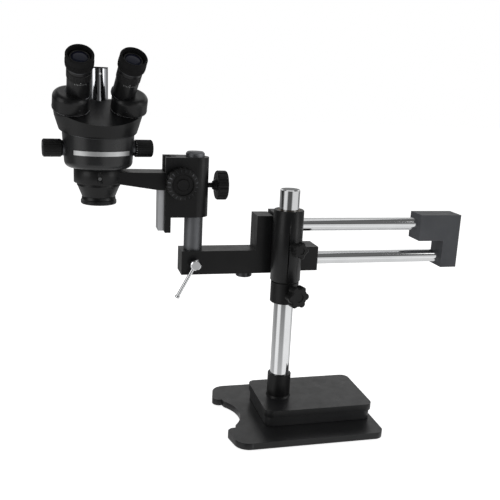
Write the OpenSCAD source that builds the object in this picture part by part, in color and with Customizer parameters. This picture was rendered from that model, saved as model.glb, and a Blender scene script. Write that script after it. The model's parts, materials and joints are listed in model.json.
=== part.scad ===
// Trinocular stereo microscope on a double-arm boom stand.
// Origin: pillar axis at table level. +X runs along the boom rods towards the
// end cap, +Y points away from the operator, +Z is up. Millimetres.

/* [Base] */
// Length of the foot plate along the boom
plate_l = 253; // [240:1:280]
// Width of the foot plate
plate_w = 214; // [200:1:240]
// Thickness of the foot plate
plate_t = 11; // [8:0.5:13]
// Length of the counterweight block
block_l = 187; // [170:1:195]
// Width of the counterweight block
block_w = 124; // [110:1:140]
// Thickness of the upper counterweight slab
slab_t = 11.5; // [8:0.5:14]
// Radius of the fishtail notch
notch_r = 65; // [55:1:68]

/* [Pillar and boom] */
// Pillar diameter
pillar_d = 32; // [28:1:34]
// Height of the pillar's top above the table
pillar_top = 396; // [385:1:450]
// Boom rod diameter
rod_d = 22; // [18:1:24]
// Distance of the rods behind the pillar's axis
boom_y = 44; // [42:1:50]
// Height of the upper rod
rod_hi = 329; // [325:1:332]
// Height of the lower rod
rod_lo = 271; // [268:1:274]
// Length of the boom from the bracket to the end cap's outer face
boom_end = 326; // [300:1:380]

/* [Focus drive] */
// Diameter of the steel post that carries the focus drive
post_d = 30; // [26:1:31]
// Radius of the focus knobs
focus_knob_r = 25; // [20:1:27]
// Gear module of the rack and pinion
gear_m = 0.75; // [0.7:0.05:0.8]
// Number of pinion teeth
pinion_n = 18; // [17:1:19]

/* [Head] */
// Turn of the head in its ring
head_yaw = 7; // [-30:1:30]
// Radius of the head's body at its foot
body_r = 51.5; // [49:0.5:53]
// Outer radius of the rubber eyecups
cup_r = 20; // [19:0.5:21]
// Lean of the prism housings towards the operator
drum_tilt = 25; // [20:1:30]
// Further lean of the eye tubes on their housings
tube_tilt = 17; // [12:1:22]
// Splay of each eye tube away from the middle
tube_splay = 4; // [2:0.5:5]

/* [Hidden] */
$fn = 64;

fit = 0.05;   // radial running clearance
play = 0.3;   // clearance between parts that only pass each other
eps = 0.5;    // overshoot of a cut past the face that it opens

// Base
foot_h = 2.5;                             // plate's underside above the table
plate_z1 = foot_h + plate_t;
shim_t = 17;                              // lower slab
screw_grip = 6;                           // depth of the base screws in the upper slab
slab_z0 = plate_z1 + shim_t;
block_z1 = slab_z0 + slab_t;
plate_x0 = -100;
plate_x1 = plate_x0 + plate_l;
block_x0 = -38;
block_x1 = block_x0 + block_l;
notch_x = plate_x0 - 32;                  // centre of the notch
tip_r = 12;                               // horn's tip
heel_r = 24;                              // horn's outer corner
foot_r = 11;
foot_recess = 2;                          // depth of each foot's seat in the plate
foot_spots = [for (x = [plate_x0 + 24, plate_x1 - 18], s = [-1, 1]) [x, s * (plate_w / 2 - 22)]];
base_screw_x = [block_x0 + 20, block_x1 - 20];
base_screw_y = block_w / 2 - 18;
base_screw_z = foot_h + 7;                // shoulder under which the slabs' screws seat
bolt_z = foot_h + 8;                      // shoulder of the pillar's bolt
bolt_r = 6;

// Pillar stack
pillar_r = pillar_d / 2;
socket_r = pillar_r + 3.6;
socket_h = 41;
collar_r = pillar_r + 7;
collar_z0 = 209;
collar_z1 = 244.5;
hub_z0 = 246;
hub_z1 = 363;
hub_r = pillar_r + 8.5;
bush_r = pillar_r + 2;
collar_knob_z = 228;
swivel_knob_z = 304;
knob_turn = 14;                           // knobs stand this far off the front, towards +X

// Boom
rod_r = rod_d / 2;
rod_bush_r = rod_r + 2.5;
arm_half = 20;                            // half the depth of bracket and end cap
guide_half = 22;                          // half the depth of the rod guides
guide_x0 = -16;
guide_x1 = 22;
guide_long_x1 = 63;
guide_z0 = 254;
guide_mid_z = 295;
guide_z1 = 352;
bracket_x0 = -45;
bracket_x1 = -18;
bracket_z0 = 251;
bracket_z1 = 347.5;
bar_x0 = -168;
bar_z1 = 290;
cap_x0 = boom_end - 77;
cap_step_x = boom_end - 30;
cap_z0 = 254;
cap_step_z = 302;
cap_z1 = 348;
rod_start = bracket_x0 + 5;
rod_seat = 25;                            // depth that each rod runs into the end cap
nut_x = -59;
lock_knob_x = 43;
lobe_stand = 7;                           // gap from the guide block to its lock knob
bracket_screw_x = -29.5;
cap_screw_hi_x = cap_x0 + 14;
cap_screw_lo_x = cap_step_x + 15;

// Post and focus drive
post_r = post_d / 2;
post_x = -147;
post_top = 448;
clamp_z = 270;
clamp_head_y1 = boom_y - arm_half - 1;
clamp_head_l = 15;
lever_lean = 28;                          // lever's angle from straight down
block_top = 440;
block_bottom = 345.5;
face_x = -187;                            // focus body's slide side
boss_r = 22;
rail_x0 = -196.4;
slide_x0 = -206;
slide_x1 = -196.7;
slide_half = 14;
slide_z0 = 323;
slide_z1 = 412;
rail_z0 = 321;
dove_in = 8;                              // dovetail half width at its neck
dove_out = 12;                            // dovetail half width at the focus body
dove_x1 = -188.3;
pinion_x = -172.5;
pinion_z = 401;
pinion_r = gear_m * pinion_n / 2;
rack_x = pinion_x - pinion_r;             // rack's pitch line
rack_z0 = 350;
rack_z1 = 436;
rack_half = 6;
shaft_r = 4.5;
rail_screw_y = 17;
rail_screw_z = [362, 393, 424];
arm_screw_z = [396, 408];
arm_x1 = -196.9;
arm_z1 = 416;
knob_gap = 3;                             // from the focus body to a focus knob
knob_t = 22;
lock_z = 394.5;

// Head, in its own frame about the ring's axis
head_x = -297;
ring_bore = 32.6;
ring_r = 37.5;
ring_z0 = 398;
ring_z1 = 421;
head_gap = 0.06;                          // bearing gap between ring and head
ring_screw_z = 408;
seam_z = 478;                             // seam of body and binocular housing, on the axis
seam_tilt = 10;
flare_z = 471;                            // height from which the housing flares
zoom_z = 450;
plate_z0 = 443;                           // lower edge of the name plate
zoom_r = 13.5;
zoom_x0 = 55.2;
zoom_x1 = 83;
deck_z = 510;                             // prism housings' seat, at deck_y
deck_y = -14;
port_z = 522;                             // flat seat of the photo tube
port_x = 4;
port_y = 36;
port_r = 14.3;
port_top = 568.5;
drum_x = 43;
pivot_x = 30;
drum_r = 27;
drum_h = 26;
drum_round = 9;
prism_bore = 8;
spigot_r = 12.5;
spigot_h = 5;
tube_x = 33;
tube_r = 17.2;
tube_l = 31;
tube_seat = 3;                            // depth of each tube's seat in its housing
ocular_r = 15.25;
neck_r = 16.3;
dioptre_r = 18;
dioptre_l = 13;
ocular_l = 7;
cup_l = 21;

module along_x() rotate([0, 90, 0]) children();
module along_y() rotate([-90, 0, 0]) children();

module in_head() translate([head_x, boom_y, 0]) rotate([0, 0, head_yaw]) children();

// Tilted seat of one prism housing; side is -1 for left and 1 for right
module on_deck(side) {
  in_head() translate([0, deck_y, deck_z]) rotate([drum_tilt, 0, 0])
    translate([side * pivot_x, 0, 0]) children();
}

// Frame of one eye tube, its Z axis along the tube
module on_tube(side) {
  on_deck(side) translate([side * (tube_x - pivot_x), 0, drum_h])
    rotate([tube_tilt, side * tube_splay, 0]) children();
}

// Frame whose Z axis runs out from the pillar, at an angle from the front
module out_of_pillar(angle, z) {
  translate([0, 0, z]) rotate([0, 0, angle]) rotate([90, 0, 0]) children();
}

// Upright disc with chamfered rims
module disc(r, h, c = 1) {
  rotate_extrude() polygon([[0, 0], [r - c, 0], [r, c], [r, h - c], [r - c, h], [0, h]]);
}

// Ring with chamfered rims
module ring(r_in, r_out, h, c = 0.8) {
  rotate_extrude() polygon([[r_in, 0], [r_out - c, 0], [r_out, c], [r_out, h - c],
    [r_out - c, h], [r_in, h]]);
}

// Rectangle with round corners, from its corner points
module round_rect(x0, x1, half, r) {
  union() {
    translate([x0 + r, -half]) square([x1 - x0 - 2 * r, 2 * half]);
    translate([x0, r - half]) square([x1 - x0, 2 * half - 2 * r]);
    for (x = [x0 + r, x1 - r], y = [r - half, half - r]) translate([x, y]) circle(r);
  }
}

// Socket-head cap screw pointing up, its head's underside at z = 0
module cap_screw(d, shank, head_r, head_h, key) {
  difference() {
    union() {
      translate([0, 0, -head_h]) cylinder(r = head_r, h = head_h);
      cylinder(d = d, h = shank);
    }
    translate([0, 0, -head_h - eps]) cylinder(r = key, h = head_h * 0.6 + eps, $fn = 6);
  }
}

// Headless set screw pointing up from z = 0, with a hexagon socket at its foot
module set_screw(r, l, key) {
  difference() {
    cylinder(r = r, h = l);
    translate([0, 0, -eps]) cylinder(r = key, h = l * 0.45 + eps, $fn = 6);
  }
}

// Lobed hand knob on a stud: the knob fills z = 0 to h, the stud runs down to -stud
module lobed_knob(r, h, lobes, stud, stud_r) {
  lobe_r = r * 0.3;
  difference() {
    union() {
      disc(r * 0.82, h, 2);
      for (i = [0 : lobes - 1]) rotate(i * 360 / lobes)
        translate([r - lobe_r, 0, 0]) disc(lobe_r, h, 1.5);
      translate([0, 0, -5]) cylinder(r1 = r * 0.42, r2 = r * 0.5, h = 5 + eps);
      translate([0, 0, -stud]) cylinder(r = stud_r, h = stud);
    }
    translate([0, 0, h - 1.2]) cylinder(r = r * 0.4, h = 1.2 + eps);
  }
}

// Round hand knob with flutes round its rim, from z = 0 to h
module fluted_knob(r, h, flutes, flute_r, recess_r, recess) {
  difference() {
    disc(r, h, 1.6);
    for (i = [0 : flutes - 1]) rotate(i * 360 / flutes) translate([r + flute_r * 0.55, 0, -eps])
      cylinder(r = flute_r, h = h + 2 * eps);
    translate([0, 0, h - recess]) cylinder(r = recess_r, h = recess + eps);
  }
}

// ---- base ----

// One horn of the fishtail: a tip, an outer corner and the web between them
module horn() {
  reach = notch_r + tip_r;
  tip_x = plate_x0 + tip_r - 0.5;
  tip_y = sqrt(reach * reach - pow(tip_x - notch_x, 2));
  heel = [plate_x0 + heel_r + 4, plate_w / 2 - heel_r];
  lean = atan2(heel[1] - tip_y, heel[0] - tip_x);
  span = norm([heel[0] - tip_x, heel[1] - tip_y]);
  spread = asin((heel_r - tip_r) / span);
  out = [cos(lean + 90 + spread), sin(lean + 90 + spread)];
  union() {
    translate([tip_x, tip_y]) circle(tip_r);
    translate(heel) circle(heel_r);
    polygon([
      [tip_x + tip_r * out[0], tip_y + tip_r * out[1]],
      [heel[0] + heel_r * out[0], heel[1] + heel_r * out[1]],
      [heel[0], plate_w / 2],
      [0, plate_w / 2],
      [0, 0],
      [notch_x + notch_r * 0.9, 0],
      [tip_x, tip_y]
    ]);
  }
}

module plate_outline() {
  difference() {
    union() {
      round_rect(plate_x0 + plate_l / 3, plate_x1, plate_w / 2, 16);
      translate([-10, -plate_w / 2]) square([40, plate_w]);
      horn();
      mirror([0, 1]) horn();
    }
    translate([notch_x, 0]) circle(notch_r);
  }
}

module base_plate() color("#1c1d1f") difference() {
  translate([0, 0, foot_h]) linear_extrude(plate_t) plate_outline();
  for (p = foot_spots) translate([p[0], p[1], foot_h - eps])
    cylinder(r = foot_r, h = foot_recess + eps);
  for (x = base_screw_x, s = [-1, 1]) translate([x, s * base_screw_y, 0]) {
    translate([0, 0, foot_h - eps]) cylinder(r = 7.2, h = base_screw_z - foot_h + eps);
    cylinder(r = 4.3, h = plate_z1 + eps);
  }
  translate([0, 0, foot_h - eps]) cylinder(r = 11, h = bolt_z - foot_h + eps);
  cylinder(r = bolt_r + 0.4, h = plate_z1 + eps);
}

module base_feet() color("#101010") for (p = foot_spots) translate([p[0], p[1], 0])
  disc(foot_r, foot_h + foot_recess, 1);

module block_outline(inset = 0) {
  round_rect(block_x0 + inset, block_x1 - inset, block_w / 2 - inset, 13);
}

module weight_lower() color("#1b1c1d") difference() {
  translate([0, 0, plate_z1]) linear_extrude(shim_t) block_outline(2);
  for (x = base_screw_x, s = [-1, 1]) translate([x, s * base_screw_y, plate_z1 - eps])
    cylinder(r = 4.3, h = shim_t + 2 * eps);
  translate([0, 0, plate_z1 - eps]) cylinder(r = bolt_r + 0.4, h = shim_t + 2 * eps);
}

module weight_upper() color("#1e1f21") difference() {
  translate([0, 0, slab_z0]) linear_extrude(slab_t) block_outline();
  for (x = base_screw_x, s = [-1, 1]) translate([x, s * base_screw_y, slab_z0 - eps])
    cylinder(r = 4 + fit, h = screw_grip + 0.5 + eps);
  translate([0, 0, slab_z0 - eps]) cylinder(r = pillar_r + fit, h = slab_t + 2 * eps);
}

module base_screws() color("#2a2a2c") for (x = base_screw_x, s = [-1, 1])
  translate([x, s * base_screw_y, base_screw_z]) cap_screw(8, slab_z0 + screw_grip - base_screw_z, 6.5, 6, 3);

// ---- pillar and what rides on it ----

module pillar_socket() color("#17181a") difference() {
  translate([0, 0, block_z1]) rotate_extrude() polygon([
    [pillar_r, 0], [socket_r + 1.4, 0], [socket_r, 3], [socket_r, socket_h - 1],
    [socket_r - 1, socket_h], [pillar_r, socket_h]
  ]);
  translate([0, 0, block_z1 + 22]) along_y() cylinder(r = 3, h = socket_r + 3);
}

module socket_screw() color("#39393b")
  translate([0, socket_r + 0.6, block_z1 + 22]) rotate([90, 0, 0])
    set_screw(3, socket_r + 0.6 - pillar_r, 1.5);

module pillar() color("#d9dcdf") difference() {
  translate([0, 0, slab_z0]) disc(pillar_r, pillar_top - slab_z0, 1.5);
  translate([0, 0, slab_z0 - eps]) cylinder(r = bolt_r, h = 30 + eps);
}

module pillar_bolt() color("#3a3a3d") translate([0, 0, bolt_z])
  cap_screw(2 * bolt_r, slab_z0 + 26 - bolt_z, 9.5, 7, 4);

module safety_collar() color("#1b1c1e") difference() {
  translate([0, 0, collar_z0]) ring(pillar_r + fit, collar_r, collar_z1 - collar_z0, 1);
  out_of_pillar(knob_turn, collar_knob_z) cylinder(r = 4 + fit, h = collar_r + eps);
}

module thrust_washer() color("#d8d4c8") translate([0, 0, collar_z1])
  ring(pillar_r + fit, collar_r - 1.5, hub_z0 - collar_z1 - 0.1, 0.2);

module collar_knob() color("#1a1a1b") out_of_pillar(knob_turn, collar_knob_z)
  translate([0, 0, 32]) lobed_knob(19, 15, 6, 32 - pillar_r - 0.4, 4);

module hub_casting() color("#202224") difference() {
  union() {
    translate([0, 0, hub_z0]) disc(hub_r, hub_z1 - hub_z0, 1);
    translate([guide_x0, 0, guide_z0])
      cube([guide_x1 - guide_x0, boom_y + guide_half, guide_z1 - guide_z0]);
    translate([0, boom_y - guide_half, guide_z0])
      cube([guide_long_x1, 2 * guide_half, guide_mid_z - guide_z0]);
    out_of_pillar(knob_turn, swivel_knob_z) cylinder(r = 9, h = hub_r + 2);
  }
  translate([0, 0, hub_z0 - eps]) cylinder(r = bush_r, h = hub_z1 - hub_z0 + 2 * eps);
  for (z = [rod_lo, rod_hi]) translate([guide_x0 - eps, boom_y, z]) along_x()
    cylinder(r = rod_bush_r, h = guide_long_x1 - guide_x0 + 2 * eps);
  out_of_pillar(knob_turn, swivel_knob_z) cylinder(r = 4 + fit, h = hub_r + 3);
  translate([lock_knob_x, boom_y, rod_lo]) along_y() cylinder(r = 4 + fit, h = guide_half + eps);
}

module hub_bushes() color("#8c6a3f") for (z = [hub_z0, hub_z1 - 28]) translate([0, 0, z])
  ring(pillar_r + fit, bush_r, 28, 0.4);

module rod_bush(x, z, l) translate([x, boom_y, z]) along_x() ring(rod_r + fit, rod_bush_r, l, 0.4);

module rod_bushes() color("#8c6a3f") {
  for (z = [rod_lo, rod_hi]) rod_bush(guide_x0, z, 14);
  rod_bush(guide_x1 - 14, rod_hi, 14);
  rod_bush(guide_long_x1 - 14, rod_lo, 14);
}

module swivel_knob() color("#1a1a1b") out_of_pillar(knob_turn, swivel_knob_z)
  translate([0, 0, hub_r + 8]) lobed_knob(14, 12, 5, hub_r + 8 - pillar_r - 0.4, 4);

module arm_lock_knob() color("#1a1a1b")
  translate([lock_knob_x, boom_y + guide_half + lobe_stand, rod_lo]) along_y()
    lobed_knob(19, 15, 6, guide_half + lobe_stand - rod_r - 0.4, 4);

// ---- boom ----

module rod_upper() color("#dfe1e4") translate([rod_start, boom_y, rod_hi]) along_x()
  disc(rod_r, cap_x0 + rod_seat - rod_start, 0.8);

module rod_lower() color("#dfe1e4") translate([rod_start, boom_y, rod_lo]) along_x()
  disc(rod_r, cap_step_x + rod_seat - rod_start, 0.8);

// L-shaped casting in the X-Z plane, centred on the rods' plane
module profile_casting(points) translate([0, boom_y + arm_half, 0]) rotate([90, 0, 0])
  linear_extrude(2 * arm_half) polygon(points);

module front_bracket() color("#232427") difference() {
  profile_casting([
    [bar_x0, bracket_z0], [bracket_x1, bracket_z0], [bracket_x1, bracket_z1],
    [bracket_x0, bracket_z1], [bracket_x0, bar_z1], [bar_x0, bar_z1]
  ]);
  for (z = [rod_lo, rod_hi]) translate([rod_start, boom_y, z]) along_x()
    cylinder(r = rod_r, h = bracket_x1 - rod_start + eps);
  translate([post_x, boom_y, bracket_z0 - eps])
    cylinder(r = post_r + fit, h = bar_z1 - bracket_z0 + 2 * eps);
  translate([post_x, boom_y - arm_half - eps, clamp_z]) along_y()
    cylinder(r = 4 + fit, h = arm_half);
  for (z = [rod_lo, rod_hi]) translate([bracket_screw_x, boom_y, z]) along_y()
    cylinder(r = 3, h = arm_half + eps);
  translate([nut_x, boom_y, bracket_z0 - eps]) cylinder(r = 4, h = 16 + eps);
}

module end_cap() color("#46494e") difference() {
  profile_casting([
    [cap_x0, cap_step_z], [cap_step_x, cap_step_z], [cap_step_x, cap_z0],
    [boom_end, cap_z0], [boom_end, cap_z1], [cap_x0, cap_z1]
  ]);
  translate([cap_x0 - eps, boom_y, rod_hi]) along_x() cylinder(r = rod_r, h = rod_seat + eps);
  translate([cap_step_x - eps, boom_y, rod_lo]) along_x() cylinder(r = rod_r, h = rod_seat + eps);
  translate([cap_screw_hi_x, boom_y, rod_hi]) along_y() cylinder(r = 3, h = arm_half + eps);
  translate([cap_screw_lo_x, boom_y, rod_lo]) along_y() cylinder(r = 3, h = arm_half + eps);
}

module boom_screw(x, z) translate([x, boom_y + arm_half + 0.4, z]) rotate([90, 0, 0])
  set_screw(3, arm_half + 0.4 - rod_r, 1.6);

module boom_screws() color("#39393b") {
  for (z = [rod_lo, rod_hi]) boom_screw(bracket_screw_x, z);
  boom_screw(cap_screw_hi_x, rod_hi);
  boom_screw(cap_screw_lo_x, rod_lo);
}

module bracket_nut() color("#1d1d1f") translate([nut_x, boom_y, bracket_z0]) {
  translate([0, 0, -9]) disc(13.5, 9, 1.2);
  translate([0, 0, -eps]) cylinder(r = 4, h = 15);
}

module clamp_screw() color("#d5d8db") translate([post_x, clamp_head_y1, clamp_z]) {
  difference() {
    rotate([90, 0, 0]) disc(8.5, clamp_head_l, 1.5);
    rotate([0, lever_lean, 0]) translate([0, -clamp_head_l / 2, -10]) cylinder(r = 2.8, h = 20);
  }
  along_y() cylinder(r = 4, h = boom_y - post_r - clamp_head_y1 - 0.4);
}

module clamp_lever() color("#d5d8db") translate([post_x, clamp_head_y1 - clamp_head_l / 2, clamp_z])
  rotate([0, lever_lean + 180, 0]) union() {
    translate([0, 0, -9]) disc(2.8, 68, 0.8);
    translate([0, 0, 57]) disc(3.8, 5, 1);
  }

module post() color("#8e9194") translate([post_x, boom_y, bracket_z0 + 1])
  disc(post_r, post_top - bracket_z0 - 1, 2.5);

// ---- focus drive ----

module focus_body() color("#1d1e20") difference() {
  union() {
    translate([face_x, boom_y - boss_r, block_bottom])
      cube([post_x - face_x, 2 * boss_r, block_top - block_bottom]);
    translate([post_x, boom_y, block_bottom]) cylinder(r = boss_r, h = block_top - block_bottom);
  }
  translate([post_x, boom_y, block_bottom - eps])
    cylinder(r = post_r + fit, h = block_top - block_bottom + 2 * eps);
  translate([face_x - eps, boom_y - rack_half - play, block_bottom - eps])
    cube([rack_x + gear_m + play - face_x + eps, 2 * (rack_half + play),
      block_top - block_bottom + 2 * eps]);
  translate([pinion_x, boom_y - rack_half - play, pinion_z]) along_y()
    cylinder(r = pinion_r + gear_m + play, h = 2 * (rack_half + play));
  translate([pinion_x, boom_y - boss_r - eps, pinion_z]) along_y()
    cylinder(r = shaft_r + fit, h = 2 * (boss_r + eps));
  translate([post_x, boom_y, lock_z]) along_x() cylinder(r = 4 + fit, h = boss_r + eps);
  for (s = [-1, 1], z = rail_screw_z) translate([face_x - eps, boom_y + s * rail_screw_y, z]) along_x()
    cylinder(r = 2, h = 10 + eps);
}

// Half width of the dovetail slot at a given x
function slot_half(x) = dove_in + (dove_out - dove_in) * (x - rail_x0) / (face_x - rail_x0);

// One dovetail rail; side -1 is nearer the operator
module rail(side) difference() {
  translate([0, boom_y, rail_z0]) linear_extrude(block_top - rail_z0) polygon([
    [rail_x0, side * (slot_half(rail_x0) + play)], [rail_x0, side * boss_r],
    [face_x, side * boss_r], [face_x, side * (slot_half(face_x) + play)]
  ]);
  for (z = rail_screw_z) translate([rail_x0 - eps, boom_y + side * rail_screw_y, z]) along_x() {
    cylinder(r = 2.2, h = face_x - rail_x0 + 2 * eps);
    cylinder(r = 3.8, h = 4 + eps);
  }
}

module guide_rails() color("#17181a") {
  rail(-1);
  rail(1);
}

module rail_screws() color("#444446") for (s = [-1, 1], z = rail_screw_z)
  translate([rail_x0 + 4, boom_y + s * rail_screw_y, z]) along_x() cap_screw(4, 14, 3.5, 3.6, 1.5);

module post_lock_knob() color("#1a1a1b") translate([post_x, boom_y, lock_z]) along_x() difference() {
  union() {
    translate([0, 0, post_r + 0.4]) cylinder(r = 4, h = 21);
    translate([0, 0, 29]) cylinder(r1 = 6.5, r2 = 11, h = 6.5);
    translate([0, 0, 35]) fluted_knob(23.5, 17, 12, 4.5, 13, 2);
  }
  translate([0, 0, 51]) cylinder(r = 5, h = 5);
}

module focus_slide() color("#b9bcc0") difference() {
  neck_x = slide_x1 - eps;
  translate([0, boom_y, 0]) union() {
    translate([slide_x0, -slide_half, slide_z0])
      cube([slide_x1 - slide_x0, 2 * slide_half, slide_z1 - slide_z0]);
    translate([0, 0, slide_z0]) linear_extrude(slide_z1 - slide_z0) polygon([
      [neck_x, -slot_half(neck_x)], [dove_x1, -slot_half(dove_x1)],
      [dove_x1, slot_half(dove_x1)], [neck_x, slot_half(neck_x)]
    ]);
  }
  for (z = arm_screw_z) translate([slide_x0 - eps, boom_y, z]) along_x()
    cylinder(r = 3, h = 14);
}

// Straight rack with its teeth towards +X; a gap faces the pinion at rest
module focus_rack() color("#a08850") {
  pitch = PI * gear_m;
  half_tip = pitch * 0.22 - gear_m * 0.9 * tan(20);
  half_root = pitch * 0.22 + gear_m * 1.2 * tan(20);
  first = ceil((rack_z0 - pinion_z) / pitch) + 1;
  last = floor((rack_z1 - pinion_z) / pitch) - 2;
  root_x = rack_x - gear_m * 1.2;
  translate([0, boom_y + rack_half, 0]) rotate([90, 0, 0]) linear_extrude(2 * rack_half) union() {
    translate([dove_x1, rack_z0]) square([root_x - dove_x1, rack_z1 - rack_z0]);
    for (i = [first : last]) translate([root_x, pinion_z + (i + 0.5) * pitch])
      polygon([[-0.1, -half_root], [gear_m * 2.1, -half_tip],
        [gear_m * 2.1, half_tip], [-0.1, half_root]]);
  }
}

module ring_arm() color("#1c1d1f") difference() {
  union() {
    translate([head_x, boom_y, ring_z0]) ring(ring_bore - 2, ring_r, ring_z1 - ring_z0 - head_gap, 0.8);
    translate([0, boom_y + boss_r, 0]) rotate([90, 0, 0]) linear_extrude(2 * boss_r) polygon([
      [head_x + 20, ring_z0 + 1], [-208, 389], [arm_x1, 389], [arm_x1, arm_z1], [head_x + 20, arm_z1]
    ]);
  }
  translate([head_x, boom_y, ring_z0 - 20]) cylinder(r = ring_bore, h = 60);
  translate([slide_x0, boom_y - slide_half, 380]) cube([20, 2 * slide_half, slide_z1 - 380]);
  for (z = arm_screw_z) {
    translate([slide_x0 - 24, boom_y, z]) along_x() cylinder(r = 3.2, h = 25);
    translate([head_x, boom_y, z]) along_x() cylinder(r = 5.2, h = slide_x0 - 12 - head_x);
  }
  translate([head_x, boom_y, ring_screw_z]) rotate([90, 0, 0]) cylinder(r = 2.5, h = ring_r + 1);
}

module arm_screws() color("#444446") for (z = arm_screw_z)
  translate([slide_x0 - 12, boom_y, z]) along_x() cap_screw(6, 20, 5, 5, 2.4);

module ring_screw() color("#e2e4e6") translate([head_x, boom_y - ring_r - 1.6, ring_screw_z]) along_y()
  set_screw(2.5, ring_r + 1.6 - ring_bore, 1.2);

// Points of one involute flank, for roll angles from 0 to the tip
function flank(rb, roll) = [rb * (cos(roll) + roll * PI / 180 * sin(roll)),
                            rb * (sin(roll) - roll * PI / 180 * cos(roll))];
function turn(p, a) = [p[0] * cos(a) - p[1] * sin(a), p[0] * sin(a) + p[1] * cos(a)];

module pinion_profile() {
  rb = pinion_r * cos(20);
  tip = pinion_r + gear_m * 0.9;
  root = pinion_r - gear_m * 1.2;
  roll_end = sqrt(pow(tip / rb, 2) - 1) * 180 / PI;
  lead = tan(20) * 180 / PI - 20;
  half = 90 / pinion_n * 0.86 + lead;
  steps = 5;
  rolls = [for (i = [0 : steps]) roll_end * i / steps];
  union() {
    circle(root);
    for (k = [0 : pinion_n - 1]) rotate(180 + k * 360 / pinion_n) polygon(concat(
      [turn([root - 0.3, 0], -half)],
      [for (a = rolls) turn(flank(rb, a), -half)],
      [for (i = [steps : -1 : 0]) let (p = turn(flank(rb, rolls[i]), -half)) [p[0], -p[1]]],
      [turn([root - 0.3, 0], half)]
    ));
  }
}

module pinion() color("#b5b7ba") union() {
  translate([pinion_x, boom_y + rack_half - 0.5, pinion_z]) rotate([90, 0, 0])
    linear_extrude(2 * rack_half - 1) pinion_profile();
  translate([pinion_x, boom_y - boss_r - knob_gap - 14, pinion_z]) along_y()
    cylinder(r = shaft_r, h = 2 * (boss_r + knob_gap + 14));
}

module focus_knob() difference() {
  union() {
    difference() {
      rotate_extrude() polygon([[0, 0], [focus_knob_r - 1.2, 0], [focus_knob_r, 1.2],
        [focus_knob_r, knob_t - 5], [focus_knob_r - 7, knob_t], [0, knob_t]]);
      for (i = [0 : 19]) rotate(i * 18) translate([focus_knob_r + 1.3, 0, -eps])
        cylinder(r = 2.4, h = knob_t + 2 * eps);
      translate([0, 0, knob_t - 2.5]) cylinder(r = focus_knob_r - 8.5, h = 2.5 + eps);
    }
    translate([0, 0, 0.8 - knob_gap]) cylinder(r = 12, h = knob_gap);
    translate([0, 0, knob_t - 3]) disc(9, 3.2, 1);
  }
  translate([0, 0, -knob_gap - eps]) cylinder(r = shaft_r, h = knob_gap + 14 + eps);
}

module focus_knob_front() color("#161617")
  translate([pinion_x, boom_y - boss_r - knob_gap, pinion_z]) rotate([90, 0, 0]) focus_knob();

module focus_knob_rear() color("#161617")
  translate([pinion_x, boom_y + boss_r + knob_gap, pinion_z]) along_y() focus_knob();

// ---- head ----

// Everything below the tilted seam of body and binocular housing
module below_seam() in_head() translate([0, 0, seam_z]) rotate([seam_tilt, 0, 0])
  translate([-100, -100, -120]) cube([200, 200, 120]);

module head_body() color("#1b1c1e") difference() {
  intersection() {
    in_head() rotate_extrude() union() {
      polygon([[0, ring_z1], [body_r - 10, ring_z1], [body_r, ring_z1 + 10],
        [body_r + 3, seam_z + 1], [body_r + 3, seam_z + 20], [0, seam_z + 20]]);
      intersection() {
        translate([body_r - 10, ring_z1 + 10]) circle(10);
        translate([body_r - 10, ring_z1]) square(10);
      }
    }
    below_seam();
  }
  in_head() {
    translate([-70, 0, zoom_z]) along_x() cylinder(r = 5 + fit, h = 140);
    for (s = [-1, 1]) translate([s * 19, 0, ring_z1 - eps]) cylinder(r = 10, h = 80);
  }
}

module head_nose() color("#1a1b1d") in_head() difference() {
  rotate_extrude() polygon([
    [0, 376], [25, 376], [32, 393], [ring_bore - fit, 396], [ring_bore - fit, ring_z1], [0, ring_z1]
  ]);
  translate([0, 0, 376 - eps]) cylinder(r = 20, h = 12 + eps);
  for (s = [-1, 1]) translate([s * 14, 0, 380]) cylinder(r = 9, h = 50);
}

module objective_ring() color("#202124") in_head() difference() {
  translate([0, 0, 365]) rotate_extrude() polygon([
    [21, 0], [26, 0], [27, 1], [27, 6], [26, 7], [25.5, 11], [21, 11]
  ]);
  translate([0, 0, 364]) cylinder(r = 22, h = 4);
}

module objective_lens() color("#9fb4c4") in_head() translate([0, 0, 368])
  rotate_extrude() polygon([[0, 0], [12, 0.4], [21, 1.6], [21, 7], [0, 7]]);

// Binocular housing: a round casting cut by the seam below and by the sloping deck above
module head_top() color("#191a1c") difference() {
  in_head() rotate_extrude() polygon([
    [0, flare_z - 12], [55.5, flare_z - 12], [56.5, flare_z], [61, flare_z + 14],
    [65, flare_z + 27], [66.5, flare_z + 36], [64, port_z - 5], [59, port_z], [0, port_z]
  ]);
  below_seam();
  in_head() translate([0, deck_y, deck_z]) rotate([drum_tilt, 0, 0])
    translate([-100, -100, 0]) cube([200, 130, 80]);
  for (s = [-1, 1]) on_deck(s) {
    translate([0, 0, -spigot_h - 0.5]) cylinder(r = spigot_r + fit, h = spigot_h + 1);
    translate([0, 0, -60]) cylinder(r = prism_bore + 0.5, h = 61);
  }
  in_head() translate([port_x, port_y + deck_y, port_z - 8]) cylinder(r = port_r, h = 10);
}

// Radius of the head's body at a height on its flank
function flank_r(z) = body_r + 3 * (z - ring_z1 - 10) / (seam_z - ring_z1 - 9);

module name_plate() color("#c9cbcd") in_head() intersection() {
  rotate_extrude() polygon([
    [flank_r(plate_z0) + 0.02, plate_z0], [flank_r(plate_z0) + 1.2, plate_z0],
    [flank_r(plate_z0 + 6.8) + 1.2, plate_z0 + 6.8], [flank_r(plate_z0 + 6.8) + 0.02, plate_z0 + 6.8]
  ]);
  translate([-42, -60, zoom_z - 8]) cube([82, 30, 10]);
}

module photo_tube() color("#c4c6c9")
  in_head() translate([port_x, port_y + deck_y, port_z - 8]) difference() {
    ring(port_r - 2, port_r, port_top - port_z + 8, 0.4);
    translate([0, 0, port_top - port_z]) rotate([90, 0, 0]) cylinder(r = 1.6, h = port_r + 1);
  }

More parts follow.
